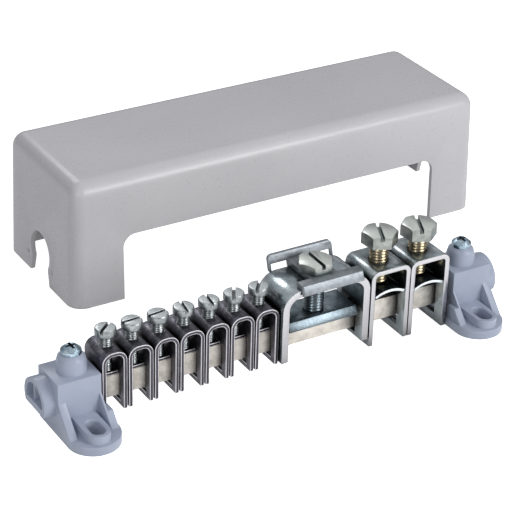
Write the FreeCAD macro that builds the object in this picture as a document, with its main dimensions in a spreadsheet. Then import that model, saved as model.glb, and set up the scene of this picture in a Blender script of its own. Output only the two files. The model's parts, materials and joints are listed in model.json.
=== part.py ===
import FreeCAD, Part
import math
import os
import Sketcher

# Equipotential bonding bar with its cover taken off and standing behind it. A flat contact bar
# lies in two moulded feet. Seven small clamps, one wide clamp for flat strip and two large
# clamps for round conductors hang on the bar by the windows in their legs.
# The origin is on the standing plane, midway between the feet, on the centreline of the bar.
# X runs along the bar, Y runs across it towards the cover, and Z points up. Millimetres, degrees.

os.makedirs("parts", exist_ok=True)
doc = FreeCAD.newDocument("BondingBar")

SIZES = {
    # contact bar
    "bar_length": 187.0,
    "bar_depth": 7.0,
    "bar_height": 9.6,
    "bar_underside": 8.0,
    "bar_edge_round": 0.4,
    # feet
    "foot_end_wall": 3.7,
    "block_width": 17.7,
    "block_front": 8.0,
    "block_back": 8.7,
    "block_height": 22.6,
    "base_width": 20.8,
    "base_thickness": 3.75,
    "base_reach": 26.2,
    "gusset_thickness": 3.0,
    "gusset_inset": 17.0,
    "gusset_rise": 14.3,
    "gusset_reach": 17.6,
    "gusset_notch_height": 9.0,
    "pad_width": 9.6,
    "pad_height": 7.4,
    "pad_reach": 25.0,
    "slot_width": 5.4,
    "slot_length": 10.0,
    "slot_reach": 18.0,
    "slot_inset": 10.0,
    "slot_rim": 0.4,
    "pillar_inset": 9.4,
    "pillar_radius": 5.8,
    "pillar_shoulder": 26.5,
    "pillar_bevel_radius": 5.2,
    "pillar_bevel_height": 28.7,
    "pillar_height": 30.0,
    "pillar_top_radius": 3.8,
    "socket_clearance": 0.1,
    "spigot_radius": 8.7,
    "spigot_length": 4.9,
    "spigot_shift": 2.3,
    "spigot_centre": 12.4,
    "spigot_flat": 8.4,
    "spigot_wall": 2.0,
    "spigot_floor": 11.2,
    "spigot_recess": 4.0,
    "web_thickness": 1.2,
    "web_shift": 4.0,
    # screws that hold the feet to the bar
    "foot_screw_radius": 1.75,
    "foot_screw_length": 20.0,
    "foot_screw_head_radius": 4.0,
    "foot_screw_head_height": 3.1,
    "foot_screw_head_edge": 1.5,
    "cross_length": 4.5,
    "cross_width": 1.1,
    "cross_depth": 1.4,
    "thread_clearance": 0.05,
    # small clamps
    "small_end_gap": 0.77,
    "small_gap": 0.71,
    "small_width": 10.22,
    "small_sheet": 1.5,
    "small_bend": 4.2,
    "small_depth": 15.4,
    "small_foot": 4.1,
    "small_top": 29.5,
    "small_window_width": 9.0,
    "small_window_drop": 2.0,
    "small_plate_thickness": 1.2,
    "small_plate_play": 0.25,
    "small_screw_radius": 2.45,
    "small_screw_rise": 4.4,
    "small_head_radius": 4.15,
    "small_head_height": 3.1,
    "small_head_bevel": 0.5,
    "small_slot_width": 1.2,
    "small_slot_depth": 1.5,
    "small_tip_radius": 1.5,
    # wide clamp for flat strip
    "wide_gap_small": 0.43,
    "wide_gap_large": 0.5,
    "wide_width": 40.0,
    "wide_sheet": 3.0,
    "wide_bend": 8.0,
    "wide_depth": 19.6,
    "wide_foot": 4.7,
    "wide_top": 35.5,
    "wide_window_width": 9.0,
    "wide_window_drop": 1.7,
    "wide_plate_thickness": 2.5,
    "wide_plate_play": 1.3,
    "wide_plate_front": 6.4,
    "wide_plate_back": 8.0,
    "wide_lip_reach": 2.0,
    "wide_lip_drop": 3.2,
    "strap_thickness": 2.4,
    "strap_reach": 9.9,
    "stem_width": 12.0,
    "crossbar_left": 12.0,
    "crossbar_right": 15.9,
    "crossbar_back": 6.3,
    "crossbar_brow": 0.5,
    "crossbar_fall": 0.4,
    "crossbar_corner": 0.8,
    "lip_reach": 1.9,
    "lip_drop": 4.0,
    "flange_width": 29.4,
    "flange_thickness": 1.5,
    "flange_lean": 1.9,
    "flange_rise": 5.5,
    "flange_band": 3.4,
    "flange_corner": 1.8,
    "ear_width": 1.1,
    "ear_drop": 0.8,
    # large clamps for round conductors
    "large_end_gap": 4.4,
    "large_gap": 0.3,
    "large_width": 18.4,
    "large_sheet": 2.0,
    "large_bend": 3.5,
    "large_depth": 19.7,
    "large_foot": 1.0,
    "large_top": 34.4,
    "large_window_width": 9.4,
    "large_window_drop": 3.5,
    "saddle_play": 0.2,
    "saddle_thickness": 1.5,
    "saddle_depth": 19.0,
    "saddle_crest": 24.1,
    "saddle_arch": 2.0,
    "saddle_1_rise": 1.2,
    "saddle_2_rise": 0.0,
    # hexagon screws of the wide and the large clamps
    "hex_flats": 13.0,
    "hex_head_height": 5.5,
    "hex_top_radius": 6.2,
    "hex_shank_radius": 3.95,
    "hex_slot_width": 1.6,
    "hex_slot_depth": 2.0,
    "wide_head_height": 4.0,
    "large_screw_reach": 16.3,
    "neck_radius": 2.6,
    "collar_radius": 3.0,
    "collar_thickness": 0.45,
    "neck_clearance": 0.05,
    # cover
    "cover_play": 0.8,
    "cover_depth": 65.0,
    "cover_height": 55.8,
    "cover_wall": 2.0,
    "cover_draft": 1.6,
    "cover_corner": 7.0,
    "cover_edge": 6.3,
    "cover_inner_bevel": 3.0,
    "cover_shift_along": 47.45,
    "cover_shift_back": 103.9,
    "leg_width": 23.4,
    "skirt_height": 29.1,
    "leg_round": 5.5,
    "notch_radius": 8.9,
    "notch_centre": 12.7,
    "notch_neck": 15.0,
    "notch_flare": 18.3,
    "notch_flare_height": 6.5,
    "dimple_radius": 1.2,
    "dimple_spacing": 22.6,
    "dimple_height": 7.9,
    "dimple_depth": 0.8,
}

# directions of the screw slots about Z, as the screws were left after tightening
SMALL_SLOT_TURNS = (41, 4, 7, 80, 80, 60, 52)
LARGE_HEAD_TURNS = (-23.6, -23.6)
WIDE_HEAD_TURN = -1

sheet = doc.addObject("Spreadsheet::Sheet", "Sizes")
for row, (alias, number) in enumerate(SIZES.items(), start=1):
    sheet.set(f"A{row}", alias.replace("_", " "))
    sheet.set(f"B{row}", str(number))
    sheet.setAlias(f"B{row}", alias)
doc.recompute()


class Size:
    # A length with the expression that gives it: geometry is drawn at its value and then bound
    # to its expression, so it follows the sheet.
    def __init__(self, value, text=None):
        self.value = float(value)
        self.text = text or repr(self.value)

    def joined(self, other, sign, result):
        return Size(result, f"({self.text} {sign} {other.text})")

    def __add__(self, other):
        other = as_size(other)
        return self.joined(other, "+", self.value + other.value)

    def __sub__(self, other):
        other = as_size(other)
        return self.joined(other, "-", self.value - other.value)

    def __mul__(self, other):
        other = as_size(other)
        return self.joined(other, "*", self.value * other.value)

    def __truediv__(self, other):
        other = as_size(other)
        return self.joined(other, "/", self.value / other.value)

    def __neg__(self):
        return as_size(0) - self

    def root(self):
        return Size(math.sqrt(self.value), f"sqrt({self.text})")


def as_size(number):
    return number if isinstance(number, Size) else Size(number)


class Driving:
    # the cells of the sheet, read by their aliases
    def __getattr__(self, alias):
        return Size(sheet.get(alias), f"Sizes.{alias}")


d = Driving()
ZERO = as_size(0)
ROOT_OF_THREE = as_size(3).root()


def new_body(label):
    body = doc.addObject("PartDesign::Body", label)
    body.Label = label
    return body


def sketch_on(body, plane, name, across=ZERO, up=ZERO, out=ZERO):
    # a sketch on one of the body's own planes, moved within the plane and along its normal
    sketch = body.newObject("Sketcher::SketchObject", name)
    role = [feature for feature in body.Origin.OriginFeatures if feature.Role == plane]
    sketch.AttachmentSupport = (role[0], "")
    sketch.MapMode = "FlatFace"
    for axis, shift in (("x", across), ("y", up), ("z", out)):
        sketch.setExpression(f".AttachmentOffset.Base.{axis}", shift.text)
    return sketch


def pin_point(sketch, edge, end, across, up):
    # fixes one point of an edge by its distances from the sketch's origin
    for kind, distance in (("DistanceX", across), ("DistanceY", up)):
        index = sketch.addConstraint(Sketcher.Constraint(kind, -1, 1, edge, end, distance.value))
        sketch.setExpression(f"Constraints[{index}]", distance.text)


def arc_between(start, finish, centre, turn):
    radius = math.dist(start, centre)
    first, last = (start, finish) if turn > 0 else (finish, start)
    angles = [math.atan2(point[1] - centre[1], point[0] - centre[0]) for point in (first, last)]
    if angles[1] < angles[0]:
        angles[1] += 2 * math.pi
    circle = Part.Circle(FreeCAD.Vector(*centre, 0), FreeCAD.Vector(0, 0, 1), radius)
    return Part.ArcOfCircle(circle, *angles)


def draw_outline(sketch, corners):
    # A closed outline. Each corner is (across, up), and the edge that leaves it is straight, or
    # (across, up, centre across, centre up, turn), and the edge is an arc: turn is +1 where
    # it runs anticlockwise and -1 where it runs clockwise.
    corners = [tuple(as_size(number) for number in corner) for corner in corners]
    ends = []
    for corner, following in zip(corners, corners[1:] + corners[:1]):
        start = (corner[0].value, corner[1].value)
        finish = (following[0].value, following[1].value)
        if len(corner) == 2:
            edge = Part.LineSegment(FreeCAD.Vector(*start, 0), FreeCAD.Vector(*finish, 0))
            ends.append((sketch.addGeometry(edge), 1, 2))
            continue
        centre = (corner[2].value, corner[3].value)
        turn = corner[4].value
        index = sketch.addGeometry(arc_between(start, finish, centre, turn))
        ends.append((index, 1, 2) if turn > 0 else (index, 2, 1))
    for position, corner in enumerate(corners):
        index, start, finish = ends[position]
        following = ends[(position + 1) % len(ends)]
        sketch.addConstraint(Sketcher.Constraint("Coincident", index, finish, *following[:2]))
        pin_point(sketch, index, start, corner[0], corner[1])
    for (index, start, finish), corner, following in zip(ends, corners, corners[1:] + corners[:1]):
        if len(corner) > 2:
            flat_chord = abs(following[0].value - corner[0].value) > abs(
                following[1].value - corner[1].value)
            kind, centre = ("DistanceY", corner[3]) if flat_chord else ("DistanceX", corner[2])
            row = sketch.addConstraint(
                Sketcher.Constraint(kind, -1, 1, index, 3, centre.value))
            sketch.setExpression(f"Constraints[{row}]", centre.text)


def draw_box(sketch, left, right, low, high):
    draw_outline(sketch, [(left, low), (right, low), (right, high), (left, high)])


def draw_circle(sketch, across, up, radius):
    across, up = as_size(across), as_size(up)
    circle = Part.Circle(FreeCAD.Vector(across.value, up.value, 0),
                         FreeCAD.Vector(0, 0, 1), radius.value)
    index = sketch.addGeometry(circle)
    pin_point(sketch, index, 3, across, up)
    row = sketch.addConstraint(Sketcher.Constraint("Radius", index, radius.value))
    sketch.setExpression(f"Constraints[{row}]", radius.text)


def pad(body, sketch, length, draft=None):
    feature = body.newObject("PartDesign::Pad", sketch.Name + "Pad")
    feature.Profile = sketch
    feature.setExpression("Length", length.text)
    if draft:
        feature.setExpression("TaperAngle", draft.text)
    return feature


def pocket(body, sketch, length=None, along_normal=False, draft=None):
    # cuts against the sketch's normal, or along it, through everything or to a depth
    feature = body.newObject("PartDesign::Pocket", sketch.Name + "Pocket")
    feature.Profile = sketch
    feature.Reversed = along_normal
    if length is None:
        feature.Type = "ThroughAll"
    else:
        feature.setExpression("Length", length.text)
    if draft:
        feature.setExpression("TaperAngle", draft.text)
    return feature


def revolve(body, sketch):
    feature = body.newObject("PartDesign::Revolution", sketch.Name + "Turned")
    feature.Profile = sketch
    feature.ReferenceAxis = (sketch, ["V_Axis"])
    feature.Angle = 360
    return feature


def edges_of(shape, wanted):
    return [f"Edge{number}" for number, edge in enumerate(shape.Edges, start=1) if wanted(edge)]


def dress(body, kind, wanted, size, size_name):
    # a fillet or a chamfer on the wanted edges of the body's last feature
    doc.recompute()
    last = body.Tip
    feature = body.newObject(f"PartDesign::{kind}", f"{body.Name}{kind}{len(body.Group)}")
    feature.Base = (last, edges_of(last.Shape, wanted))
    feature.setExpression(size_name, size.text)
    return feature


def lies_at(edge, level):
    box = edge.BoundBox
    return abs(box.ZMin - level) < ROUNDING and abs(box.ZMax - level) < ROUNDING


def is_line_along(edge, axis):
    if edge.Curve.TypeId != "Part::GeomLine":
        return False
    return abs(abs(edge.Curve.Direction.dot(axis)) - 1) < 1e-6


ALONG_X = FreeCAD.Vector(1, 0, 0)
ALONG_Y = FreeCAD.Vector(0, 1, 0)
UPRIGHT = FreeCAD.Vector(0, 0, 1)
ROUNDING = 0.01

# levels and places that several pieces share
bar_top = d.bar_underside + d.bar_height
foot_span = d.bar_length + d.foot_end_wall * 2
foot_outer = -foot_span / 2
foot_inner = foot_outer + d.block_width
pillar_axis = foot_outer + d.pillar_inset
foot_hole_radius = d.foot_screw_radius + d.thread_clearance
cover_length = foot_span + (d.cover_wall + d.cover_play) * 2

# The clamps fill the bar between the feet. Their widths and gaps are drawn at their own sizes
# where the row of them is as long as the room, and in proportion where the bar is longer or
# shorter than that.
small_row = (d.small_width + d.small_gap) * len(SMALL_SLOT_TURNS) - d.small_gap
large_row = (d.large_width + d.large_gap) * len(LARGE_HEAD_TURNS) - d.large_gap
wide_row = d.wide_gap_small + d.wide_width + d.wide_gap_large
fit = -foot_inner * 2 / (d.small_end_gap + small_row + wide_row + large_row + d.large_end_gap)
small_pitch = (d.small_width + d.small_gap) * fit
small_first = foot_inner + (d.small_end_gap + d.small_width / 2) * fit
wide_centre = foot_inner + (d.small_end_gap + small_row + d.wide_gap_small
                            + d.wide_width / 2) * fit
large_pitch = (d.large_width + d.large_gap) * fit
large_last = -foot_inner - (d.large_end_gap + d.large_width / 2) * fit


def contact_bar():
    body = new_body("contact_bar")
    section = sketch_on(body, "YZ_Plane", "BarSection", out=-d.bar_length / 2)
    draw_box(section, -d.bar_depth / 2, d.bar_depth / 2, d.bar_underside, bar_top)
    pad(body, section, d.bar_length)
    holes = sketch_on(body, "XY_Plane", "BarHoles", out=bar_top)
    for side in (-1, 1):
        draw_circle(holes, (foot_span / 2 - d.pillar_inset) * side, 0, foot_hole_radius)
    pocket(body, holes)
    dress(body, "Fillet", lambda edge: is_line_along(edge, ALONG_X), d.bar_edge_round, "Radius")
    return body


def foot_base(body):
    nose = d.base_width / 2
    base = sketch_on(body, "XY_Plane", "FootBase")
    draw_outline(base, [
        (foot_outer, d.block_back),
        (foot_outer, nose - d.base_reach, foot_outer + nose, nose - d.base_reach, 1),
        (foot_outer + d.base_width, nose - d.base_reach),
        (foot_outer + d.base_width, d.block_back),
    ])
    pad(body, base, d.base_thickness)
    block = sketch_on(body, "XY_Plane", "FootBlock")
    draw_box(block, foot_outer, foot_inner, -d.block_front, d.block_back)
    pad(body, block, d.block_height)


def foot_pad(body):
    # raised pad round the fixing slot
    centre = foot_outer + d.slot_inset
    end = d.pad_width / 2
    raised = sketch_on(body, "XY_Plane", "SlotPad")
    draw_outline(raised, [
        (centre - end, -d.block_front),
        (centre - end, end - d.pad_reach, centre, end - d.pad_reach, 1),
        (centre + end, end - d.pad_reach),
        (centre + end, -d.block_front),
    ])
    pad(body, raised, d.pad_height)
    half = d.slot_width / 2
    run = d.slot_length / 2 - half
    slot = sketch_on(body, "XY_Plane", "FixingSlot", out=d.pad_height)
    draw_outline(slot, [
        (centre + half, -d.slot_reach - run),
        (centre + half, -d.slot_reach + run, centre, -d.slot_reach + run, 1),
        (centre - half, -d.slot_reach + run),
        (centre - half, -d.slot_reach - run, centre, -d.slot_reach - run, 1),
    ])
    pocket(body, slot)
    level, left, right = d.pad_height.value, (centre - half).value, (centre + half).value
    dress(body, "Chamfer", lambda edge: lies_at(edge, level) and edge.BoundBox.XMin
          > left - ROUNDING and edge.BoundBox.XMax < right + ROUNDING, d.slot_rim, "Size")


def foot_gussets(body):
    for name, inset in (("OuterGusset", ZERO), ("InnerGusset", d.gusset_inset)):
        side = sketch_on(body, "YZ_Plane", name, out=foot_outer + inset)
        draw_outline(side, [
            (-d.block_front, d.base_thickness),
            (-d.block_front, d.gusset_rise),
            (-d.gusset_reach, d.base_thickness),
        ])
        pad(body, side, d.gusset_thickness)
    # higher up the inner gusset ends flush with the block
    notch = sketch_on(body, "XY_Plane", "GussetNotch", out=d.gusset_rise)
    draw_box(notch, foot_inner, foot_outer + d.gusset_inset + d.gusset_thickness,
             -d.gusset_reach, -d.block_front)
    pocket(body, notch, d.gusset_rise - d.gusset_notch_height)


def foot_pillar(body):
    # turned shape of the screw pillar, with a bevelled shoulder
    turned = sketch_on(body, "XZ_Plane", "Pillar", across=pillar_axis)
    draw_outline(turned, [
        (0, d.block_height - d.base_thickness),
        (d.pillar_radius, d.block_height - d.base_thickness),
        (d.pillar_radius, d.pillar_shoulder),
        (d.pillar_bevel_radius, d.pillar_bevel_height),
        (d.pillar_top_radius, d.pillar_height),
        (0, d.pillar_height),
    ])
    revolve(body, turned)
    hole = sketch_on(body, "XY_Plane", "PillarHole", out=d.pillar_height)
    draw_circle(hole, pillar_axis, 0, foot_hole_radius)
    pocket(body, hole, d.pillar_height - bar_top + d.bar_height / 2)


def foot_socket(body):
    # socket that the end of the contact bar lies in
    half = d.bar_depth / 2 + d.socket_clearance
    mouth = sketch_on(body, "YZ_Plane", "BarSocket", out=foot_inner)
    draw_box(mouth, -half, half, d.bar_underside, bar_top + d.socket_clearance)
    pocket(body, mouth, d.bar_length / 2 + d.socket_clearance + foot_inner)


def d_outline(sketch, radius, floor):
    # a circle cut off flat at its foot
    below = d.spigot_centre - floor
    reach = (radius * radius - below * below).root()
    draw_outline(sketch, [
        (d.spigot_shift - reach, floor),
        (d.spigot_shift + reach, floor, d.spigot_shift, d.spigot_centre, 1),
    ])


def foot_spigot(body):
    # hollow D-shaped spigot on the outer end, which the notch of the cover fits over
    face = foot_outer - d.spigot_length
    ring = sketch_on(body, "YZ_Plane", "Spigot", out=face)
    d_outline(ring, d.spigot_radius, d.spigot_flat)
    pad(body, ring, d.spigot_length)
    recess = sketch_on(body, "YZ_Plane", "SpigotRecess", out=face)
    d_outline(recess, d.spigot_radius - d.spigot_wall, d.spigot_floor)
    pocket(body, recess, d.spigot_recess, along_normal=True)
    web = sketch_on(body, "YZ_Plane", "SpigotWeb", out=face + d.spigot_length - d.spigot_recess)
    draw_box(web, d.web_shift - d.web_thickness / 2, d.web_shift + d.web_thickness / 2,
             d.spigot_floor, d.spigot_centre + d.spigot_radius - d.spigot_wall)
    pad(body, web, d.spigot_recess)


def left_foot():
    body = new_body("left_foot")
    foot_base(body)
    foot_gussets(body)
    foot_pad(body)
    foot_pillar(body)
    foot_socket(body)
    foot_spigot(body)
    return body


def right_foot(source):
    mirrored = doc.addObject("Part::Mirroring", "right_foot")
    mirrored.Label = "right_foot"
    mirrored.Source = source
    mirrored.Normal = ALONG_X
    return mirrored


def foot_screw(label, side):
    # pan-head screw with a cross recess
    body = new_body(label)
    head = d.pillar_height
    crown = head + d.foot_screw_head_height
    turned = sketch_on(body, "XZ_Plane", label + "Profile")
    draw_outline(turned, [
        (0, head - d.foot_screw_length),
        (d.foot_screw_radius, head - d.foot_screw_length),
        (d.foot_screw_radius, head),
        (d.foot_screw_head_radius, head),
        (d.foot_screw_head_radius, head + d.foot_screw_head_edge),
        (d.foot_screw_head_radius / 2, crown),
        (0, crown),
    ])
    revolve(body, turned)
    for number, (long, wide) in enumerate(((d.cross_length, d.cross_width),
                                           (d.cross_width, d.cross_length))):
        arm = sketch_on(body, "XY_Plane", f"{label}Cross{number}", out=crown)
        draw_box(arm, -long / 2, long / 2, -wide / 2, wide / 2)
        pocket(body, arm, d.cross_depth)
    place = (foot_span / 2 - d.pillar_inset) * side
    body.setExpression(".Placement.Base.x", place.text)
    return body


def stirrup(label, centre, kind, hole_radius):
    # U-shaped sheet with a window in each leg for the contact bar. kind names its sizes.
    width, sheet_size, bend, depth, foot, top, window, drop = (
        getattr(d, f"{kind}_{name}") for name in
        ("width", "sheet", "bend", "depth", "foot", "top", "window_width", "window_drop"))
    body = new_body(label)
    half, bend = width * fit / 2, bend * fit
    inner = half - sheet_size
    turn_x = half - bend
    turn_z = top - bend
    profile = sketch_on(body, "XZ_Plane", label + "Profile", out=-depth / 2)
    draw_outline(profile, [
        (-half, foot),
        (-inner, foot),
        (-inner, turn_z, -turn_x, turn_z, -1),
        (-turn_x, top - sheet_size),
        (turn_x, top - sheet_size, turn_x, turn_z, -1),
        (inner, turn_z),
        (inner, foot),
        (half, foot),
        (half, turn_z, turn_x, turn_z, 1),
        (turn_x, top),
        (-turn_x, top, -turn_x, turn_z, 1),
        (-half, turn_z),
    ])
    pad(body, profile, depth)
    windows = sketch_on(body, "YZ_Plane", label + "Windows", out=half)
    draw_box(windows, -window / 2, window / 2, d.bar_underside - drop, bar_top)
    pocket(body, windows)
    hole = sketch_on(body, "XY_Plane", label + "Hole", out=top)
    draw_circle(hole, 0, 0, hole_radius)
    pocket(body, hole, sheet_size * 2)
    body.setExpression(".Placement.Base.x", centre.text)
    return body


def cheese_head_screw(label, centre, slot_turn):
    # slotted cheese-head screw whose turned tip sits in the pressure plate
    body = new_body(label)
    head = d.small_top + d.small_screw_rise
    crown = head + d.small_head_height
    plate_top = bar_top + d.small_plate_thickness
    turned = sketch_on(body, "XZ_Plane", label + "Profile")
    draw_outline(turned, [
        (0, bar_top + d.neck_clearance),
        (d.small_tip_radius, bar_top + d.neck_clearance),
        (d.small_tip_radius, plate_top),
        (d.small_screw_radius, plate_top),
        (d.small_screw_radius, head),
        (d.small_head_radius, head),
        (d.small_head_radius, crown - d.small_head_bevel),
        (d.small_head_radius - d.small_head_bevel, crown),
        (0, crown),
    ])
    revolve(body, turned)
    slot = sketch_on(body, "XY_Plane", label + "Slot", out=crown)
    draw_box(slot, -d.small_head_radius * 2, d.small_head_radius * 2,
             -d.small_slot_width / 2, d.small_slot_width / 2)
    pocket(body, slot, d.small_slot_depth)
    body.Placement.Rotation = FreeCAD.Rotation(UPRIGHT, slot_turn)
    body.setExpression(".Placement.Base.x", centre.text)
    return body


def small_plate(label, centre):
    body = new_body(label)
    half = d.small_width * fit / 2 - d.small_sheet - d.small_plate_play
    outline = sketch_on(body, "XY_Plane", label + "Outline", out=bar_top)
    draw_box(outline, -half, half, -d.bar_depth / 2, d.bar_depth / 2)
    pad(body, outline, d.small_plate_thickness)
    hole = sketch_on(body, "XY_Plane", label + "Hole", out=bar_top + d.small_plate_thickness)
    draw_circle(hole, 0, 0, d.small_tip_radius + d.neck_clearance)
    pocket(body, hole)
    body.setExpression(".Placement.Base.x", centre.text)
    return body


def small_clamp(number):
    centre = small_first + small_pitch * (number - 1)
    name = f"small_clamp_{number}"
    return [
        stirrup(name + "_stirrup", centre, "small", d.small_screw_radius + d.thread_clearance),
        small_plate(name + "_plate", centre),
        cheese_head_screw(name + "_screw", centre, SMALL_SLOT_TURNS[number - 1]),
    ]


def hexagon_screw(label, centre, seat, underside, head_height, turn):
    # Slotted hexagon screw. Its neck turns in a plate or saddle whose underside and top are the
    # two levels of seat, and a collar below holds the plate on the neck where there is room.
    body = new_body(label)
    seat_low, seat_top, collar = seat
    corner = d.hex_flats / ROOT_OF_THREE
    crown = underside + head_height
    shoulder = crown - (corner - d.hex_top_radius) / ROOT_OF_THREE
    tip = [(0, seat_low), (d.neck_radius, seat_low)]
    if collar:
        tip = [
            (0, seat_low - d.neck_clearance - d.collar_thickness),
            (d.collar_radius, seat_low - d.neck_clearance - d.collar_thickness),
            (d.collar_radius, seat_low - d.neck_clearance),
            (d.neck_radius, seat_low - d.neck_clearance),
        ]
    turned = sketch_on(body, "XZ_Plane", label + "Profile")
    draw_outline(turned, tip + [
        (d.neck_radius, seat_top),
        (d.hex_shank_radius, seat_top),
        (d.hex_shank_radius, underside),
        (corner, underside),
        (corner, shoulder),
        (d.hex_top_radius, crown),
        (0, crown),
    ])
    revolve(body, turned)
    flats = sketch_on(body, "XY_Plane", label + "Flats", out=crown)
    draw_circle(flats, 0, 0, d.hex_flats)
    half = d.hex_flats / 2
    draw_outline(flats, [
        (corner, 0), (corner / 2, half), (-corner / 2, half),
        (-corner, 0), (-corner / 2, -half), (corner / 2, -half),
    ])
    pocket(body, flats, head_height)
    slot = sketch_on(body, "XY_Plane", label + "Slot", out=crown)
    draw_box(slot, -d.hex_slot_width / 2, d.hex_slot_width / 2, -d.hex_flats, d.hex_flats)
    pocket(body, slot, d.hex_slot_depth)
    body.Placement.Rotation = FreeCAD.Rotation(UPRIGHT, turn)
    body.setExpression(".Placement.Base.x", centre.text)
    return body


def wide_plate(label):
    # pressure plate with a lip that leans down in front of the bar
    body = new_body(label)
    half = d.wide_width * fit / 2 - d.wide_sheet - d.wide_plate_play
    top = bar_top + d.wide_plate_thickness
    profile = sketch_on(body, "YZ_Plane", label + "Profile", out=-half)
    draw_outline(profile, [
        (-d.wide_plate_front, bar_top),
        (d.wide_plate_back, bar_top),
        (d.wide_plate_back, top),
        (-d.wide_plate_front, top),
        (-d.wide_plate_front - d.wide_lip_reach, top - d.wide_lip_drop),
        (-d.wide_plate_front - d.wide_lip_reach + d.wide_plate_thickness / 2,
         top - d.wide_lip_drop - d.wide_plate_thickness / 4),
    ])
    pad(body, profile, half * 2)
    hole = sketch_on(body, "XY_Plane", label + "Hole", out=top)
    draw_circle(hole, 0, 0, d.neck_radius + d.neck_clearance)
    pocket(body, hole)
    body.setExpression(".Placement.Base.x", wide_centre.text)
    return body


def strap_crossbar(body, low, high):
    # bar across the front of the stirrup, with a lip that hangs over the stirrup's edge
    front = -d.strap_reach
    profile = sketch_on(body, "YZ_Plane", "StrapCrossbar", out=-d.crossbar_left)
    draw_outline(profile, [
        (front, low),
        (-d.crossbar_back, low),
        (-d.crossbar_back, high),
        (front - d.crossbar_brow, high - d.crossbar_fall),
        (front - d.lip_reach, high - d.lip_drop),
        (front - d.lip_reach + d.strap_thickness / 2, high - d.lip_drop - d.strap_thickness / 4),
    ])
    pad(body, profile, d.crossbar_left + d.crossbar_right)
    edge_of_stirrup, sheet_size = front.value, d.strap_thickness.value
    dress(body, "Fillet", lambda edge: edge.BoundBox.XLength < ROUNDING and edge.BoundBox.YMax
          < edge_of_stirrup - ROUNDING and edge.BoundBox.ZLength > sheet_size,
          d.crossbar_corner, "Radius")


def strap_flange(body, low):
    # upright flange behind the stirrup, cut away on each side of the stem
    back, wing = d.strap_reach, d.flange_width / 2
    top = low + d.flange_rise
    flange = sketch_on(body, "YZ_Plane", "StrapFlange", out=-wing)
    draw_outline(flange, [
        (back, low - d.ear_drop),
        (back + d.flange_thickness, low - d.ear_drop),
        (back + d.flange_thickness + d.flange_lean, top),
        (back + d.flange_lean, top),
    ])
    pad(body, flange, wing * 2)
    level = top.value
    dress(body, "Fillet", lambda edge: is_line_along(edge, ALONG_Y) and lies_at(edge, level),
          d.flange_corner, "Radius")
    windows = sketch_on(body, "XZ_Plane", "FlangeWindows", out=-back)
    for left, right in ((d.ear_width - wing, -d.stem_width / 2),
                        (d.stem_width / 2, wing - d.ear_width)):
        draw_box(windows, left, right, low - d.ear_drop * 2, top - d.flange_band)
    pocket(body, windows, d.flange_lean + d.flange_thickness)


def wide_strap(label):
    # Folded strap on top of the wide stirrup, shaped like an I when seen from above: a crossbar
    # at the front, a stem under the screw head and an upright flange at the back.
    body = new_body(label)
    low, high = d.wide_top, d.wide_top + d.strap_thickness
    strap_crossbar(body, low, high)
    strap_flange(body, low)
    stem = sketch_on(body, "XY_Plane", "StrapStem", out=low)
    draw_box(stem, -d.stem_width / 2, d.stem_width / 2,
             -d.crossbar_back, d.strap_reach + d.flange_thickness * 0.8)
    pad(body, stem, d.strap_thickness)
    hole = sketch_on(body, "XY_Plane", "StrapHole", out=high)
    draw_circle(hole, 0, 0, d.hex_shank_radius + d.thread_clearance)
    pocket(body, hole)
    body.setExpression(".Placement.Base.x", wide_centre.text)
    return body


def wide_clamp():
    seat = (bar_top + d.neck_clearance, bar_top + d.wide_plate_thickness, False)
    strap_top = d.wide_top + d.strap_thickness
    return [
        stirrup("wide_clamp_stirrup", wide_centre, "wide",
                d.hex_shank_radius + d.thread_clearance),
        wide_strap("wide_clamp_strap"),
        wide_plate("wide_clamp_plate"),
        hexagon_screw("wide_clamp_screw", wide_centre, seat, strap_top,
                      d.wide_head_height, WIDE_HEAD_TURN),
    ]


def saddle_bend():
    # half the width of a saddle and the radius of the arch underneath it
    half = d.large_width * fit / 2 - d.large_sheet - d.saddle_play
    return half, (half * half + d.saddle_arch * d.saddle_arch) / (d.saddle_arch * 2)


def saddle(label, centre, crest):
    # arched strip that presses a round conductor on the bar
    body = new_body(label)
    half, radius = saddle_bend()
    under = crest - d.saddle_thickness
    middle = under - radius
    outer = radius + d.saddle_thickness
    spread = half * outer / radius
    lift = (radius - d.saddle_arch) * outer / radius
    profile = sketch_on(body, "XZ_Plane", label + "Profile", out=-d.saddle_depth / 2)
    narrow = half * half / spread
    drop = (radius * radius - narrow * narrow).root()
    draw_outline(profile, [
        (-narrow, middle + drop, 0, middle, -1),
        (narrow, middle + drop),
        (half, middle + lift, 0, middle, 1),
        (-half, middle + lift),
    ])
    pad(body, profile, d.saddle_depth)
    hole = sketch_on(body, "XY_Plane", label + "Hole", out=crest)
    draw_circle(hole, 0, 0, d.neck_radius + d.neck_clearance)
    pocket(body, hole)
    body.setExpression(".Placement.Base.x", centre.text)
    return body


def large_clamp(number):
    centre = large_last - large_pitch * (len(LARGE_HEAD_TURNS) - number)
    name = f"large_clamp_{number}"
    crest = d.saddle_crest + getattr(d, f"saddle_{number}_rise")
    # the flat collar stays clear of the arch, which is lower at the collar's edge
    radius = saddle_bend()[1]
    sag = radius - (radius * radius - d.collar_radius * d.collar_radius).root()
    seat = (crest - d.saddle_thickness - sag, crest, True)
    return [
        stirrup(name + "_stirrup", centre, "large", d.hex_shank_radius + d.thread_clearance),
        saddle(name + "_saddle", centre, crest),
        hexagon_screw(name + "_screw", centre, seat, crest + d.large_screw_reach,
                      d.hex_head_height, LARGE_HEAD_TURNS[number - 1]),
    ]


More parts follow.
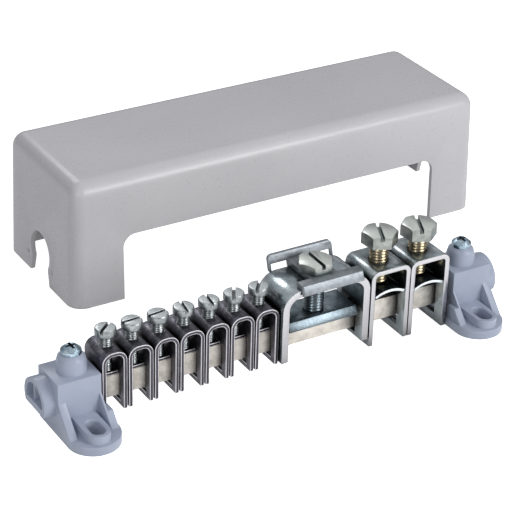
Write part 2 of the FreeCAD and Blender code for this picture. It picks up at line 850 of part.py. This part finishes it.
def draw_cover_plan(sketch, inset):
    # plan of the cover at its rim, or of its hollow where it is inset by the wall
    half_x, half_y = cover_length / 2 - inset, d.cover_depth / 2 - inset
    turn_x, turn_y = cover_length / 2 - d.cover_corner, d.cover_depth / 2 - d.cover_corner
    draw_outline(sketch, [
        (-turn_x, -half_y),
        (turn_x, -half_y, turn_x, -turn_y, 1),
        (half_x, -turn_y),
        (half_x, turn_y, turn_x, turn_y, 1),
        (turn_x, half_y),
        (-turn_x, half_y, -turn_x, turn_y, 1),
        (-half_x, turn_y),
        (-half_x, -turn_y, -turn_x, -turn_y, 1),
    ])


def cover_shell(body):
    # drafted box with rounded upright corners and a rounded top edge, hollow underneath
    rim = sketch_on(body, "XY_Plane", "CoverRim")
    draw_cover_plan(rim, ZERO)
    pad(body, rim, d.cover_height, draft=-d.cover_draft)
    crown = d.cover_height.value
    dress(body, "Fillet", lambda edge: lies_at(edge, crown), d.cover_edge, "Radius")
    hollow = sketch_on(body, "XY_Plane", "CoverHollow")
    draw_cover_plan(hollow, d.cover_wall)
    pocket(body, hollow, d.cover_height - d.cover_wall, along_normal=True, draft=-d.cover_draft)
    ceiling = crown - d.cover_wall.value
    dress(body, "Chamfer", lambda edge: lies_at(edge, ceiling), d.cover_inner_bevel, "Size")


def cover():
    body = new_body("cover")
    cover_shell(body)
    cover_side_openings(body)
    cover_end_notches(body)
    cover_end_dimples(body)
    body.setExpression(".Placement.Base.x", d.cover_shift_along.text)
    body.setExpression(".Placement.Base.y", d.cover_shift_back.text)
    return body


def cover_side_openings(body):
    # the long walls are cut away between the corner legs, so that conductors can pass
    half = cover_length / 2 - d.leg_width
    turn_x, turn_z = half - d.leg_round, d.skirt_height - d.leg_round
    opening = sketch_on(body, "XZ_Plane", "SideOpening", out=-d.cover_depth)
    draw_outline(opening, [
        (-half, -d.cover_wall),
        (half, -d.cover_wall),
        (half, turn_z, turn_x, turn_z, 1),
        (turn_x, d.skirt_height),
        (-turn_x, d.skirt_height, -turn_x, turn_z, 1),
        (-half, turn_z),
    ])
    pocket(body, opening, along_normal=True)


def cover_end_notches(body):
    # keyhole notch in each end wall, which fits over the spigot of a foot
    neck, flare = d.notch_neck / 2, d.notch_flare / 2
    below = (d.notch_radius * d.notch_radius - neck * neck).root()
    notch = sketch_on(body, "YZ_Plane", "EndNotch", out=cover_length)
    draw_outline(notch, [
        (-flare, -d.cover_wall),
        (flare, -d.cover_wall),
        (flare, ZERO),
        (neck, d.notch_flare_height),
        (neck, d.notch_centre - below, 0, d.notch_centre, 1),
        (-neck, d.notch_centre - below),
        (-neck, d.notch_flare_height),
        (-flare, ZERO),
    ])
    pocket(body, notch)


def cover_end_dimples(body):
    # two shallow round marks on each end wall, beside the notch
    for name, side in (("LeftDimples", -1), ("RightDimples", 1)):
        dimples = sketch_on(body, "YZ_Plane", name, out=cover_length / 2 * side)
        for place in (-1, 1):
            draw_circle(dimples, d.dimple_spacing / 2 * place, d.dimple_height, d.dimple_radius)
        pocket(body, dimples, d.dimple_depth, along_normal=side < 0)


def problems(pieces):
    found = [feature.Name for feature in doc.Objects
             if "Invalid" in feature.State or "Error" in feature.State]
    found += [piece.Label for piece in pieces if piece.Shape.isNull() or not piece.Shape.isValid()]
    return found


feet = [left_foot()]
feet.append(right_foot(feet[0]))
pieces = [contact_bar()] + feet
pieces += [foot_screw("left_foot_screw", -1), foot_screw("right_foot_screw", 1)]
for clamp_number in range(1, len(SMALL_SLOT_TURNS) + 1):
    pieces += small_clamp(clamp_number)
pieces += wide_clamp()
for clamp_number in range(1, len(LARGE_HEAD_TURNS) + 1):
    pieces += large_clamp(clamp_number)
pieces.append(cover())
doc.recompute()

faults = problems(pieces)
if faults:
    raise SystemExit("failed: " + ", ".join(faults))
for piece in pieces:
    piece.Shape.exportStep(f"parts/{piece.Label}.step")
    box = piece.Shape.BoundBox
    print(f"{piece.Label}: {len(piece.Shape.Solids)} solid, volume {piece.Shape.Volume:.1f}, "
          f"x {box.XMin:.2f} {box.XMax:.2f}, y {box.YMin:.2f} {box.YMax:.2f}, "
          f"z {box.ZMin:.2f} {box.ZMax:.2f}")
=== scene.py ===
import json
import math
import bmesh
import bpy
from mathutils import Matrix, Vector


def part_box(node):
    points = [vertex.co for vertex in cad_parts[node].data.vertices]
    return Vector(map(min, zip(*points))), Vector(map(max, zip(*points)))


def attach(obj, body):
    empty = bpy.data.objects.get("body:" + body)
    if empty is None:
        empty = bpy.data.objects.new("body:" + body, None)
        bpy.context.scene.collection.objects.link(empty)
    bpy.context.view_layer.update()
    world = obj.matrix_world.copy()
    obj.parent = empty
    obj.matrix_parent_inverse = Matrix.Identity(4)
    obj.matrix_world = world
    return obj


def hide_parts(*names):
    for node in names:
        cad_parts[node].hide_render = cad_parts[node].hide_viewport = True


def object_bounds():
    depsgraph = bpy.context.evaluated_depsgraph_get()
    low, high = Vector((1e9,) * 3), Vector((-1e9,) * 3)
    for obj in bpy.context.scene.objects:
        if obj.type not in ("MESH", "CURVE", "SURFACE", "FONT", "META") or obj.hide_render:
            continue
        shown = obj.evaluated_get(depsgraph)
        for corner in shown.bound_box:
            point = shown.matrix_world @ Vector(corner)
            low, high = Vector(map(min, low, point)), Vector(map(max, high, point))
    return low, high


# Equipotential bonding bar with its cover taken off: the looks around the fixed frame.
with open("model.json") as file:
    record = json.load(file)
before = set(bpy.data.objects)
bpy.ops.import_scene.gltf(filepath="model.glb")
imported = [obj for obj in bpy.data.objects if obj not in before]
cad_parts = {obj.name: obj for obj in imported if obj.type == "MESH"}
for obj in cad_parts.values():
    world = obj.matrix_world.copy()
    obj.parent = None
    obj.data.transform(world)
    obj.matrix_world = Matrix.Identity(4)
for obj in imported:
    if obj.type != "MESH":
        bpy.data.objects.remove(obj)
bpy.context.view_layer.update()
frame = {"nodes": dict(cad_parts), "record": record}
print("frame loaded:", len(frame["nodes"]), "nodes")

mm = 0.001
bodyOf = {node: body for body, nodes in frame["record"]["behaviour"]["bodies"].items()
          for node in nodes}


def startMaterial(name):
    material = bpy.data.materials.new(name)
    material.use_nodes = True
    shader = material.node_tree.nodes["Principled BSDF"]
    return material, material.node_tree, shader


def addNode(tree, kind, **values):
    # a node whose sockets and settings are given by name
    node = tree.nodes.new(kind)
    for key, value in values.items():
        if key in node.inputs:
            node.inputs[key].default_value = value
        else:
            setattr(node, key, value)
    return node


def objectCoords(tree):
    return tree.nodes.new("ShaderNodeTexCoord").outputs["Object"]


def noise(tree, vector, scale, detail=4.0, roughness=0.55):
    node = addNode(tree, "ShaderNodeTexNoise", Scale=scale, Detail=detail, Roughness=roughness)
    tree.links.new(vector, node.inputs["Vector"])
    return node.outputs["Fac"]


def ramp(tree, factor, stops):
    node = tree.nodes.new("ShaderNodeValToRGB")
    elements = node.color_ramp.elements
    while len(elements) < len(stops):
        elements.new(0.5)  # moved to its own place below
    for element, (position, colour) in zip(elements, stops):
        element.position = position
        element.color = (*colour, 1)
    tree.links.new(factor, node.inputs["Fac"])
    return node.outputs["Color"]


def mapped(tree, factor, low, high, fromLow=0.3, fromHigh=0.7):
    # the middle of a noise stretched over a range, or any other part of a value
    node = tree.nodes.new("ShaderNodeMapRange")
    node.inputs["From Min"].default_value = fromLow
    node.inputs["From Max"].default_value = fromHigh
    node.inputs["To Min"].default_value = low
    node.inputs["To Max"].default_value = high
    tree.links.new(factor, node.inputs["Value"])
    return node.outputs["Result"]


def mathNode(tree, operation, first, second):
    node = addNode(tree, "ShaderNodeMath", operation=operation)
    tree.links.new(first, node.inputs[0])
    tree.links.new(second, node.inputs[1])
    return node.outputs[0]


def blendColour(tree, factor, first, second):
    node = addNode(tree, "ShaderNodeMix", data_type="RGBA")
    tree.links.new(factor, node.inputs[0])
    for socket, value in ((node.inputs[6], first), (node.inputs[7], second)):
        if isinstance(value, tuple):
            socket.default_value = (*value, 1)
        else:
            tree.links.new(value, socket)
    return node.outputs[2]


def bump(tree, height, strength, distance, shader):
    node = addNode(tree, "ShaderNodeBump", Strength=strength, Distance=distance)
    tree.links.new(height, node.inputs["Height"])
    tree.links.new(node.outputs["Normal"], shader.inputs["Normal"])


def srgb(red, green, blue):
    # a screen colour, 0 to 255, as the linear one that the shader wants
    def linear(value):
        value = value / 255
        return value / 12.92 if value <= 0.04045 else ((value + 0.055) / 1.055) ** 2.4
    return tuple(linear(value) for value in (red, green, blue))


def mouldedPlastic(name, look):
    material, tree, shader = startMaterial(name)
    coords = objectCoords(tree)
    cloud = noise(tree, coords, look["cloudScale"])
    grain = noise(tree, coords, look["grainScale"], detail=2.0)
    colour = ramp(tree, cloud, look["colours"])
    tree.links.new(colour, shader.inputs["Base Color"])
    tree.links.new(mapped(tree, grain, *look["gloss"]), shader.inputs["Roughness"])
    shader.inputs["Specular IOR Level"].default_value = look["shine"]
    bump(tree, grain, look["bumpStrength"], look["bumpDepth"], shader)
    return material


def cutEdgesAndLitTops(tree, colour, look):
    # another colour on faces that look along one axis: the sheared edges along Y, and along Z a
    # painted highlight on the tops of heads
    coords = tree.nodes.new("ShaderNodeTexCoord")
    split = tree.nodes.new("ShaderNodeSeparateXYZ")
    size = addNode(tree, "ShaderNodeMath", operation="ABSOLUTE")
    tree.links.new(coords.outputs["Normal"], split.inputs[0])
    tree.links.new(split.outputs[look.get("cutAxis", "Y")], size.inputs[0])
    facing = mapped(tree, size.outputs[0], 0, 1, fromLow=0.55, fromHigh=0.9)
    return blendColour(tree, facing, colour, look["cutEdgeAndPaintedTop"])


def platedMetal(name, look):
    material, tree, shader = startMaterial(name)
    coords = objectCoords(tree)
    cloud = noise(tree, coords, look["cloudScale"])
    fine = noise(tree, coords, look["fineScale"], detail=5.0, roughness=0.65)
    colour = ramp(tree, cloud, look["colours"])
    if "cutEdgeAndPaintedTop" in look:
        colour = cutEdgesAndLitTops(tree, colour, look)
    # painted shade: ambient occlusion blends crevices, hollows and the gaps between parts
    # towards the painted shade colour
    paintedShadeOcclusion = addNode(tree, "ShaderNodeAmbientOcclusion", samples=8, Distance=look["reach"])
    openness = mapped(tree, paintedShadeOcclusion.outputs["AO"], 0, 1, *look["paintedShadeRange"])
    colour = blendColour(tree, openness, look["paintedShadeColour"], colour)
    tree.links.new(colour, shader.inputs["Base Color"])
    shader.inputs["Metallic"].default_value = look["metal"]
    tree.links.new(mapped(tree, fine, *look["gloss"]), shader.inputs["Roughness"])
    bump(tree, fine, look["bumpStrength"], look["bumpDepth"], shader)
    return material


# gloss is the roughness from the smoothest to the dullest spot, cavity the openness at which
# the painted shade colour ends and the full one begins, and reach how far a crevice looks, in
# metres
plastics = {
    "coverPlastic": dict(
        colours=[(0.3, srgb(196, 194, 197)), (0.7, srgb(203, 201, 203))],
        cloudScale=18, grainScale=900, gloss=(0.26, 0.36), shine=0.5,
        bumpStrength=0.12, bumpDepth=0.2 * mm),
    "footPlastic": dict(
        colours=[(0.3, srgb(158, 166, 184)), (0.7, srgb(168, 176, 194))],
        cloudScale=60, grainScale=1100, gloss=(0.3, 0.42), shine=0.5,
        bumpStrength=0.25, bumpDepth=0.2 * mm),
}
metals = {
    "tinnedBar": dict(
        colours=[(0.3, srgb(198, 192, 183)), (0.52, srgb(226, 220, 211)),
                 (0.75, srgb(242, 237, 229))],
        cloudScale=260, fineScale=900, metal=0.7, gloss=(0.36, 0.58),
        bumpStrength=0.3, bumpDepth=0.3 * mm,
        reach=8 * mm, paintedShadeRange=(0.3, 0.8), paintedShadeColour=srgb(50, 44, 42)),
    "passivatedSteel": dict(
        colours=[(0.3, srgb(84, 84, 92)), (0.5, srgb(108, 107, 116)),
                 (0.72, srgb(142, 138, 146))],
        cutEdgeAndPaintedTop=srgb(74, 72, 80),
        cloudScale=420, fineScale=1400, metal=0.9, gloss=(0.26, 0.42),
        bumpStrength=0.22, bumpDepth=0.3 * mm,
        reach=8 * mm, paintedShadeRange=(0.2, 0.85), paintedShadeColour=srgb(22, 20, 24)),
    # painted highlight: near-white bevels along the edges of the small stirrups and plates,
    # standing in for lit edges
    "brightEdge": dict(
        colours=[(0.3, srgb(226, 222, 228)), (0.7, srgb(250, 248, 250))],
        cloudScale=300, fineScale=900, metal=0.25, gloss=(0.25, 0.4),
        bumpStrength=0.1, bumpDepth=0.2 * mm,
        reach=2 * mm, paintedShadeRange=(0.1, 0.5), paintedShadeColour=srgb(60, 58, 62)),
    "brightZinc": dict(
        colours=[(0.3, srgb(124, 135, 141)), (0.55, srgb(172, 181, 185)),
                 (0.75, srgb(218, 223, 225))],
        cutEdgeAndPaintedTop=srgb(184, 183, 186),
        cloudScale=110, fineScale=800, metal=0.95, gloss=(0.16, 0.28),
        bumpStrength=0.14, bumpDepth=0.3 * mm,
        reach=12 * mm, paintedShadeRange=(0.2, 0.85), paintedShadeColour=srgb(24, 28, 30)),
    "galvanisedStrap": dict(
        colours=[(0.3, srgb(124, 129, 134)), (0.6, srgb(142, 147, 152)),
                 (0.8, srgb(160, 165, 170))],
        cloudScale=500, fineScale=1500, metal=0.75, gloss=(0.34, 0.5),
        bumpStrength=0.25, bumpDepth=0.3 * mm,
        reach=6 * mm, paintedShadeRange=(0.15, 0.8), paintedShadeColour=srgb(40, 42, 46)),
    "plateZinc": dict(
        colours=[(0.3, srgb(98, 110, 116)), (0.6, srgb(126, 138, 144)),
                 (0.8, srgb(160, 170, 174))],
        cutEdgeAndPaintedTop=srgb(96, 106, 112),
        cloudScale=240, fineScale=900, metal=0.95, gloss=(0.22, 0.34),
        bumpStrength=0.1, bumpDepth=0.3 * mm,
        reach=12 * mm, paintedShadeRange=(0.15, 0.8), paintedShadeColour=srgb(18, 24, 26)),
    "hexScrewZinc": dict(
        colours=[(0.3, srgb(126, 130, 127)), (0.55, srgb(156, 160, 156)),
                 (0.8, srgb(184, 187, 183))],
        # painted highlight: the tops of the hex heads are lighter, as if lit from above
        cutEdgeAndPaintedTop=srgb(214, 218, 212), cutAxis="Z",
        cloudScale=300, fineScale=1100, metal=0.85, gloss=(0.26, 0.4),
        bumpStrength=0.24, bumpDepth=0.3 * mm,
        reach=6 * mm, paintedShadeRange=(0.15, 0.8), paintedShadeColour=srgb(26, 60, 66)),
    "goldThread": dict(
        colours=[(0.3, srgb(112, 102, 84)), (0.55, srgb(158, 146, 120)),
                 (0.8, srgb(212, 203, 178))],
        cloudScale=420, fineScale=1100, metal=0.95, gloss=(0.18, 0.32),
        bumpStrength=0.2, bumpDepth=0.3 * mm,
        reach=2 * mm, paintedShadeRange=(0.25, 0.8), paintedShadeColour=srgb(40, 28, 20)),
    "slottedScrewZinc": dict(
        colours=[(0.3, srgb(122, 127, 129)), (0.55, srgb(152, 157, 158)),
                 (0.8, srgb(186, 190, 190))],
        # painted highlight: the tops of the slotted heads are lighter, as if lit from above
        cutEdgeAndPaintedTop=srgb(206, 211, 212), cutAxis="Z",
        cloudScale=600, fineScale=1600, metal=0.9, gloss=(0.22, 0.38),
        bumpStrength=0.25, bumpDepth=0.3 * mm,
        reach=4 * mm, paintedShadeRange=(0.2, 0.85), paintedShadeColour=srgb(24, 28, 30)),
    "footScrewSteel": dict(
        colours=[(0.3, srgb(120, 140, 156)), (0.55, srgb(166, 184, 196)),
                 (0.8, srgb(206, 218, 226))],
        cloudScale=500, fineScale=1500, metal=0.95, gloss=(0.16, 0.3),
        bumpStrength=0.2, bumpDepth=0.3 * mm,
        reach=3 * mm, paintedShadeRange=(0.2, 0.85), paintedShadeColour=srgb(14, 22, 30)),
}
# painted highlight: the saddle's faces along Y are lighter, standing in for its lit front edge
metals["saddleZinc"] = dict(metals["plateZinc"], cutEdgeAndPaintedTop=srgb(214, 220, 222))
finishes = {name: mouldedPlastic(name, look) for name, look in plastics.items()}
finishes.update((name, platedMetal(name, look)) for name, look in metals.items())
print("finishes made:", len(finishes))


def meshOfNode(node):
    # a merged copy of the frame's loose triangles, with flat faces joined up
    shape = bmesh.new()
    shape.from_mesh(frame["nodes"][node].data)
    shape.transform(frame["nodes"][node].matrix_world)
    bmesh.ops.remove_doubles(shape, verts=shape.verts, dist=0.002 * mm)
    bmesh.ops.dissolve_limit(shape, angle_limit=math.radians(0.6), verts=shape.verts,
                             edges=shape.edges)
    return shape


def roundEdges(shape, look):
    # the bevel has a painted edge highlight of its own where the look gives one, and then its
    # full width too
    sharp = [edge for edge in shape.edges if len(edge.link_faces) == 2
             and edge.calc_face_angle(0) > math.radians(look["sharpFrom"])]
    paintedHighlightBevel = "edgeFinish" in look
    bmesh.ops.bevel(shape, geom=sharp, offset=look["edge"], affect="EDGES", segments=2,
                    profile=0.5, material=1 if paintedHighlightBevel else -1,
                    clamp_overlap=not paintedHighlightBevel, loop_slide=True)


def makePiece(shape, node, look):
    # the finished mesh as a piece that stands for the node, on the node's body
    name = node + "_dressed"
    mesh = bpy.data.meshes.new(name)
    shape.to_mesh(mesh)
    shape.free()
    for part in ("finish", "edgeFinish", "threadFinish"):
        if part in look:
            mesh.materials.append(finishes[look[part]])
    mesh.shade_smooth()
    mesh.set_sharp_from_angle(angle=math.radians(look["keepSharp"]))
    piece = bpy.data.objects.new(name, mesh)
    bpy.context.scene.collection.objects.link(piece)
    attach(piece, bodyOf[node])
    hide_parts(node)


def toothChain(turn, centre, low, high, look):
    # the thread's profile as a zigzag that starts a tooth below the shank and ends above it
    pitch, root, crest = look["pitch"], look["root"], look["crest"]
    flat = pitch / 8
    tooth = ((0, root), (flat, root), (pitch / 2, crest), (pitch / 2 + flat, crest))
    chain = []
    for number in range(math.ceil((high - low) / pitch) + 2):
        foot = low - pitch + number * pitch
        for rise, radius in tooth:
            chain.append(turn.verts.new((centre[0] + radius, centre[1], foot + rise)))
    for first, second in zip(chain, chain[1:]):
        turn.edges.new((first, second))


def threadOnto(shape, centre, low, high, look):
    # helical thread: the profile is spun once round while it climbs by one pitch
    turn = bmesh.new()
    toothChain(turn, centre, low, high, look)
    bmesh.ops.spin(turn, geom=turn.verts[:] + turn.edges[:], cent=(*centre, 0), axis=(0, 0, 1),
                   dvec=(0, 0, look["pitch"] / look["steps"]), angle=math.tau,
                   steps=look["steps"])
    bmesh.ops.remove_doubles(turn, verts=turn.verts, dist=0.001 * mm)
    for level, facing in ((low, -1), (high, 1)):  # cut flat and closed at both ends
        bmesh.ops.bisect_plane(turn, geom=turn.verts[:] + turn.edges[:] + turn.faces[:],
                               plane_co=(0, 0, level), plane_no=(0, 0, facing), clear_outer=True)
        rim = [edge for edge in turn.edges if edge.is_boundary and all(
            abs(vert.co.z - level) < 0.0001 * mm for vert in edge.verts)]
        bmesh.ops.contextual_create(turn, geom=rim)
    bmesh.ops.recalc_face_normals(turn, faces=turn.faces)
    for face in turn.faces:
        face.material_index = 1 if "threadFinish" in look else 0
    mesh = bpy.data.meshes.new("threadTurn")
    turn.to_mesh(mesh)
    turn.free()
    shape.from_mesh(mesh)
    bpy.data.meshes.remove(mesh)


def roundedPiece(node, look):
    shape = meshOfNode(node)
    roundEdges(shape, look)
    makePiece(shape, node, look)


def threadedScrew(node, look):
    # the node's own head with its shank drawn in to the root of a real thread
    low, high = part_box(node)
    centre = ((low[0] + high[0]) / 2, (low[1] + high[1]) / 2)
    shape = meshOfNode(node)
    headLevel = high[2] - look["headHeight"] + look["slack"]
    shank = [vert for vert in shape.verts if vert.co.z < headLevel
             and abs(math.dist(vert.co.xy, centre) - look["shank"]) < look["offShank"]]
    bottom = min(vert.co.z for vert in shank) + look["tipGap"]
    top = max(vert.co.z for vert in shank) - look["slack"]
    draw = look["root"] / look["shank"]
    bmesh.ops.scale(shape, vec=(draw, draw, 1), verts=shank,
                    space=Matrix.Translation((-centre[0], -centre[1], 0)))
    roundEdges(shape, look)
    threadOnto(shape, centre, bottom, top, look)
    makePiece(shape, node, look)


rounded = dict(make=roundedPiece, sharpFrom=32, keepSharp=32)
threaded = dict(make=threadedScrew, sharpFrom=30, keepSharp=35,
                offShank=0.03 * mm, slack=0.05 * mm, tipGap=0.02 * mm)

contactBar = dict(rounded, finish="tinnedBar", edge=0.25 * mm)
foot = dict(rounded, finish="footPlastic", edge=0.45 * mm)
footScrew = dict(rounded, finish="footScrewSteel", edge=0.25 * mm)
cover = dict(rounded, finish="coverPlastic", edge=0.5 * mm)
smallStirrup = dict(rounded, finish="passivatedSteel", edgeFinish="brightEdge",
                    edge=0.26 * mm)
smallPlate = dict(rounded, finish="passivatedSteel", edgeFinish="brightEdge", edge=0.2 * mm)
smallScrew = dict(threaded, finish="slottedScrewZinc", edge=0.2 * mm, headHeight=3.1 * mm,
                  shank=2.45 * mm, crest=2.46 * mm, root=2.08 * mm, pitch=0.8 * mm, steps=28)
zincStirrup = dict(rounded, finish="brightZinc", edge=0.28 * mm)
widePlate = dict(rounded, finish="plateZinc", edge=0.25 * mm)
strap = dict(rounded, finish="galvanisedStrap", edge=0.4 * mm)
saddle = dict(rounded, finish="saddleZinc", edge=0.3 * mm)
largeScrew = dict(threaded, finish="hexScrewZinc", threadFinish="goldThread",
                  edge=0.22 * mm, headHeight=5.5 * mm,
                  shank=3.95 * mm, crest=3.96 * mm, root=3.35 * mm, pitch=1.25 * mm, steps=32)
wideScrew = dict(largeScrew, threadFinish="plateZinc", headHeight=4.0 * mm)

# how the names of each kind of node begin and end
kinds = [
    ("contact", "bar", contactBar), ("cover", "", cover),
    ("", "foot", foot), ("", "foot_screw", footScrew),
    ("small", "stirrup", smallStirrup), ("small", "plate", smallPlate),
    ("small", "screw", smallScrew),
    ("wide", "stirrup", zincStirrup), ("wide", "plate", widePlate), ("wide", "strap", strap),
    ("wide", "screw", wideScrew),
    ("large", "stirrup", zincStirrup), ("large", "saddle", saddle),
    ("large", "screw", largeScrew),
]
for node in frame["nodes"]:
    look = next(look for start, end, look in kinds
                if node.startswith(start) and node.endswith(end))
    look["make"](node, look)
print("pieces dressed")

surround = dict(
    height=(-0.2, 1.0),  # from a little below the horizon to straight up
    sky=[(0.0, (0.2, 0.2, 0.21)), (0.3, (0.3, 0.31, 0.32)), (0.75, (0.4, 0.41, 0.43))],
    mirrored=[(0.2, (0.06, 0.065, 0.07)), (0.36, (0.14, 0.15, 0.16)),
              (0.56, (0.6, 0.62, 0.64)), (0.85, (0.7, 0.71, 0.72))],
    white=(1.0, 1.0, 1.0))


def whiteSurround():
    # soft even light for the object, a brighter sky in its reflections, white for the camera
    world = bpy.data.worlds.new("studio")
    bpy.context.scene.world = world
    world.use_nodes = True
    tree = world.node_tree
    tree.nodes.clear()
    rays = tree.nodes.new("ShaderNodeLightPath").outputs
    seen = mathNode(tree, "MAXIMUM", rays["Is Camera Ray"], rays["Is Transmission Ray"])
    coords = tree.nodes.new("ShaderNodeTexCoord")
    split = tree.nodes.new("ShaderNodeSeparateXYZ")
    tree.links.new(coords.outputs["Generated"], split.inputs[0])
    height = mapped(tree, split.outputs["Z"], 0, 1, *surround["height"])
    sky = ramp(tree, height, surround["sky"])
    mirrored = ramp(tree, height, surround["mirrored"])
    sky = blendColour(tree, rays["Is Glossy Ray"], sky, mirrored)
    surface = blendColour(tree, seen, sky, surround["white"])
    background = tree.nodes.new("ShaderNodeBackground")
    tree.links.new(surface, background.inputs["Color"])
    output = tree.nodes.new("ShaderNodeOutputWorld")
    tree.links.new(background.outputs[0], output.inputs["Surface"])


floorLook = dict(
    size=2.5, drop=0.05 * mm,  # just under the feet
    colour=(0.8, 0.8, 0.8), gloss=0.7,
    front=0.9, back=0.25, fromY=-0.04, toY=0.0)  # its glow in reflections, front to back


def paleFloor():
    # keeps the shadow of the object, is white to the camera and glows in reflections
    low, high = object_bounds()
    centre = (low + high) / 2
    shape = bmesh.new()
    bmesh.ops.create_grid(shape, x_segments=1, y_segments=1, size=floorLook["size"],
                          matrix=Matrix.Translation((centre.x, centre.y, -floorLook["drop"])))
    mesh = bpy.data.meshes.new("floor")
    shape.to_mesh(mesh)
    shape.free()
    floor = bpy.data.objects.new("floor", mesh)
    bpy.context.scene.collection.objects.link(floor)
    material, tree, shader = startMaterial("whiteFloor")
    shader.inputs["Base Color"].default_value = (*floorLook["colour"], 1)
    shader.inputs["Roughness"].default_value = floorLook["gloss"]
    rays = tree.nodes.new("ShaderNodeLightPath").outputs
    place = tree.nodes.new("ShaderNodeNewGeometry")
    split = tree.nodes.new("ShaderNodeSeparateXYZ")
    tree.links.new(place.outputs["Position"], split.inputs[0])
    lit = mapped(tree, split.outputs["Y"], floorLook["front"], floorLook["back"],
                 floorLook["fromY"], floorLook["toY"])
    glossy = mathNode(tree, "MULTIPLY", rays["Is Glossy Ray"], lit)
    glow = mathNode(tree, "MAXIMUM", rays["Is Camera Ray"], glossy)
    shader.inputs["Emission Color"].default_value = (1, 1, 1, 1)
    tree.links.new(glow, shader.inputs["Emission Strength"])
    mesh.materials.append(material)


middle = (0.03, 0.03, 0.02)  # between the bar and its cover
lamps = {
    "keyBox": dict(place=(0.55, -1.0, 0.5), aim=middle, size=(0.7, 0.5), power=8),
    "leftBox": dict(place=(-0.9, -0.8, 0.7), aim=middle, size=(0.5, 0.5), power=0.6),
    "backBox": dict(place=(0.0, 0.95, 0.85), aim=middle, size=(0.4, 0.3), power=2.0),
    "lineBox": dict(place=(0.6, -0.55, 0.95), aim=middle, size=(0.5, 0.06), power=1.0),
    "footBox": dict(place=(-0.38, -0.26, 0.2), aim=(-0.1, -0.01, 0.02), size=(0.12, 0.12),
                    power=0.25),
}


def softBox(name, look):
    lamp = bpy.data.lights.new(name, "AREA")
    lamp.shape = "RECTANGLE"
    lamp.size, lamp.size_y = look["size"]
    lamp.energy = look["power"]
    holder = bpy.data.objects.new(name, lamp)
    holder.location = look["place"]
    holder.rotation_mode = "QUATERNION"
    ray = Vector(look["aim"]) - Vector(look["place"])
    holder.rotation_quaternion = ray.to_track_quat("-Z", "Y")
    bpy.context.scene.collection.objects.link(holder)


view = dict(azimuth=-31.194, elevation=28.853, roll=1.551, distance=0.86659,
            target=(0.03749, 0.07766, 0.0), focal=2008.11, frame=512, sensor=36.0,
            clip=(0.05, 20))  # focal and frame are in pixels, the sensor in millimetres


def photoCamera():
    turn, rise, roll = (math.radians(view[key]) for key in ("azimuth", "elevation", "roll"))
    back = Vector((math.sin(turn) * math.cos(rise), -math.cos(turn) * math.cos(rise),
                   math.sin(rise)))
    right = (-back).cross(Vector((0, 0, 1))).normalized()
    up = right.cross(-back)
    across = right * math.cos(roll) + up * math.sin(roll)
    upward = up * math.cos(roll) - right * math.sin(roll)
    lens = bpy.data.cameras.new("photoCamera")
    lens.sensor_width = view["sensor"]
    lens.lens = view["focal"] / view["frame"] * view["sensor"]
    lens.clip_start, lens.clip_end = view["clip"]
    camera = bpy.data.objects.new("photoCamera", lens)
    basis = Matrix((across, upward, back)).transposed().to_4x4()
    basis.translation = Vector(view["target"]) + back * view["distance"]
    camera.matrix_world = basis
    bpy.context.scene.collection.objects.link(camera)
    bpy.context.scene.camera = camera


whiteSurround()
paleFloor()
for name, look in lamps.items():
    softBox(name, look)
photoCamera()
bpy.context.scene.view_settings.view_transform = "Standard"
print("stage, light and camera set")
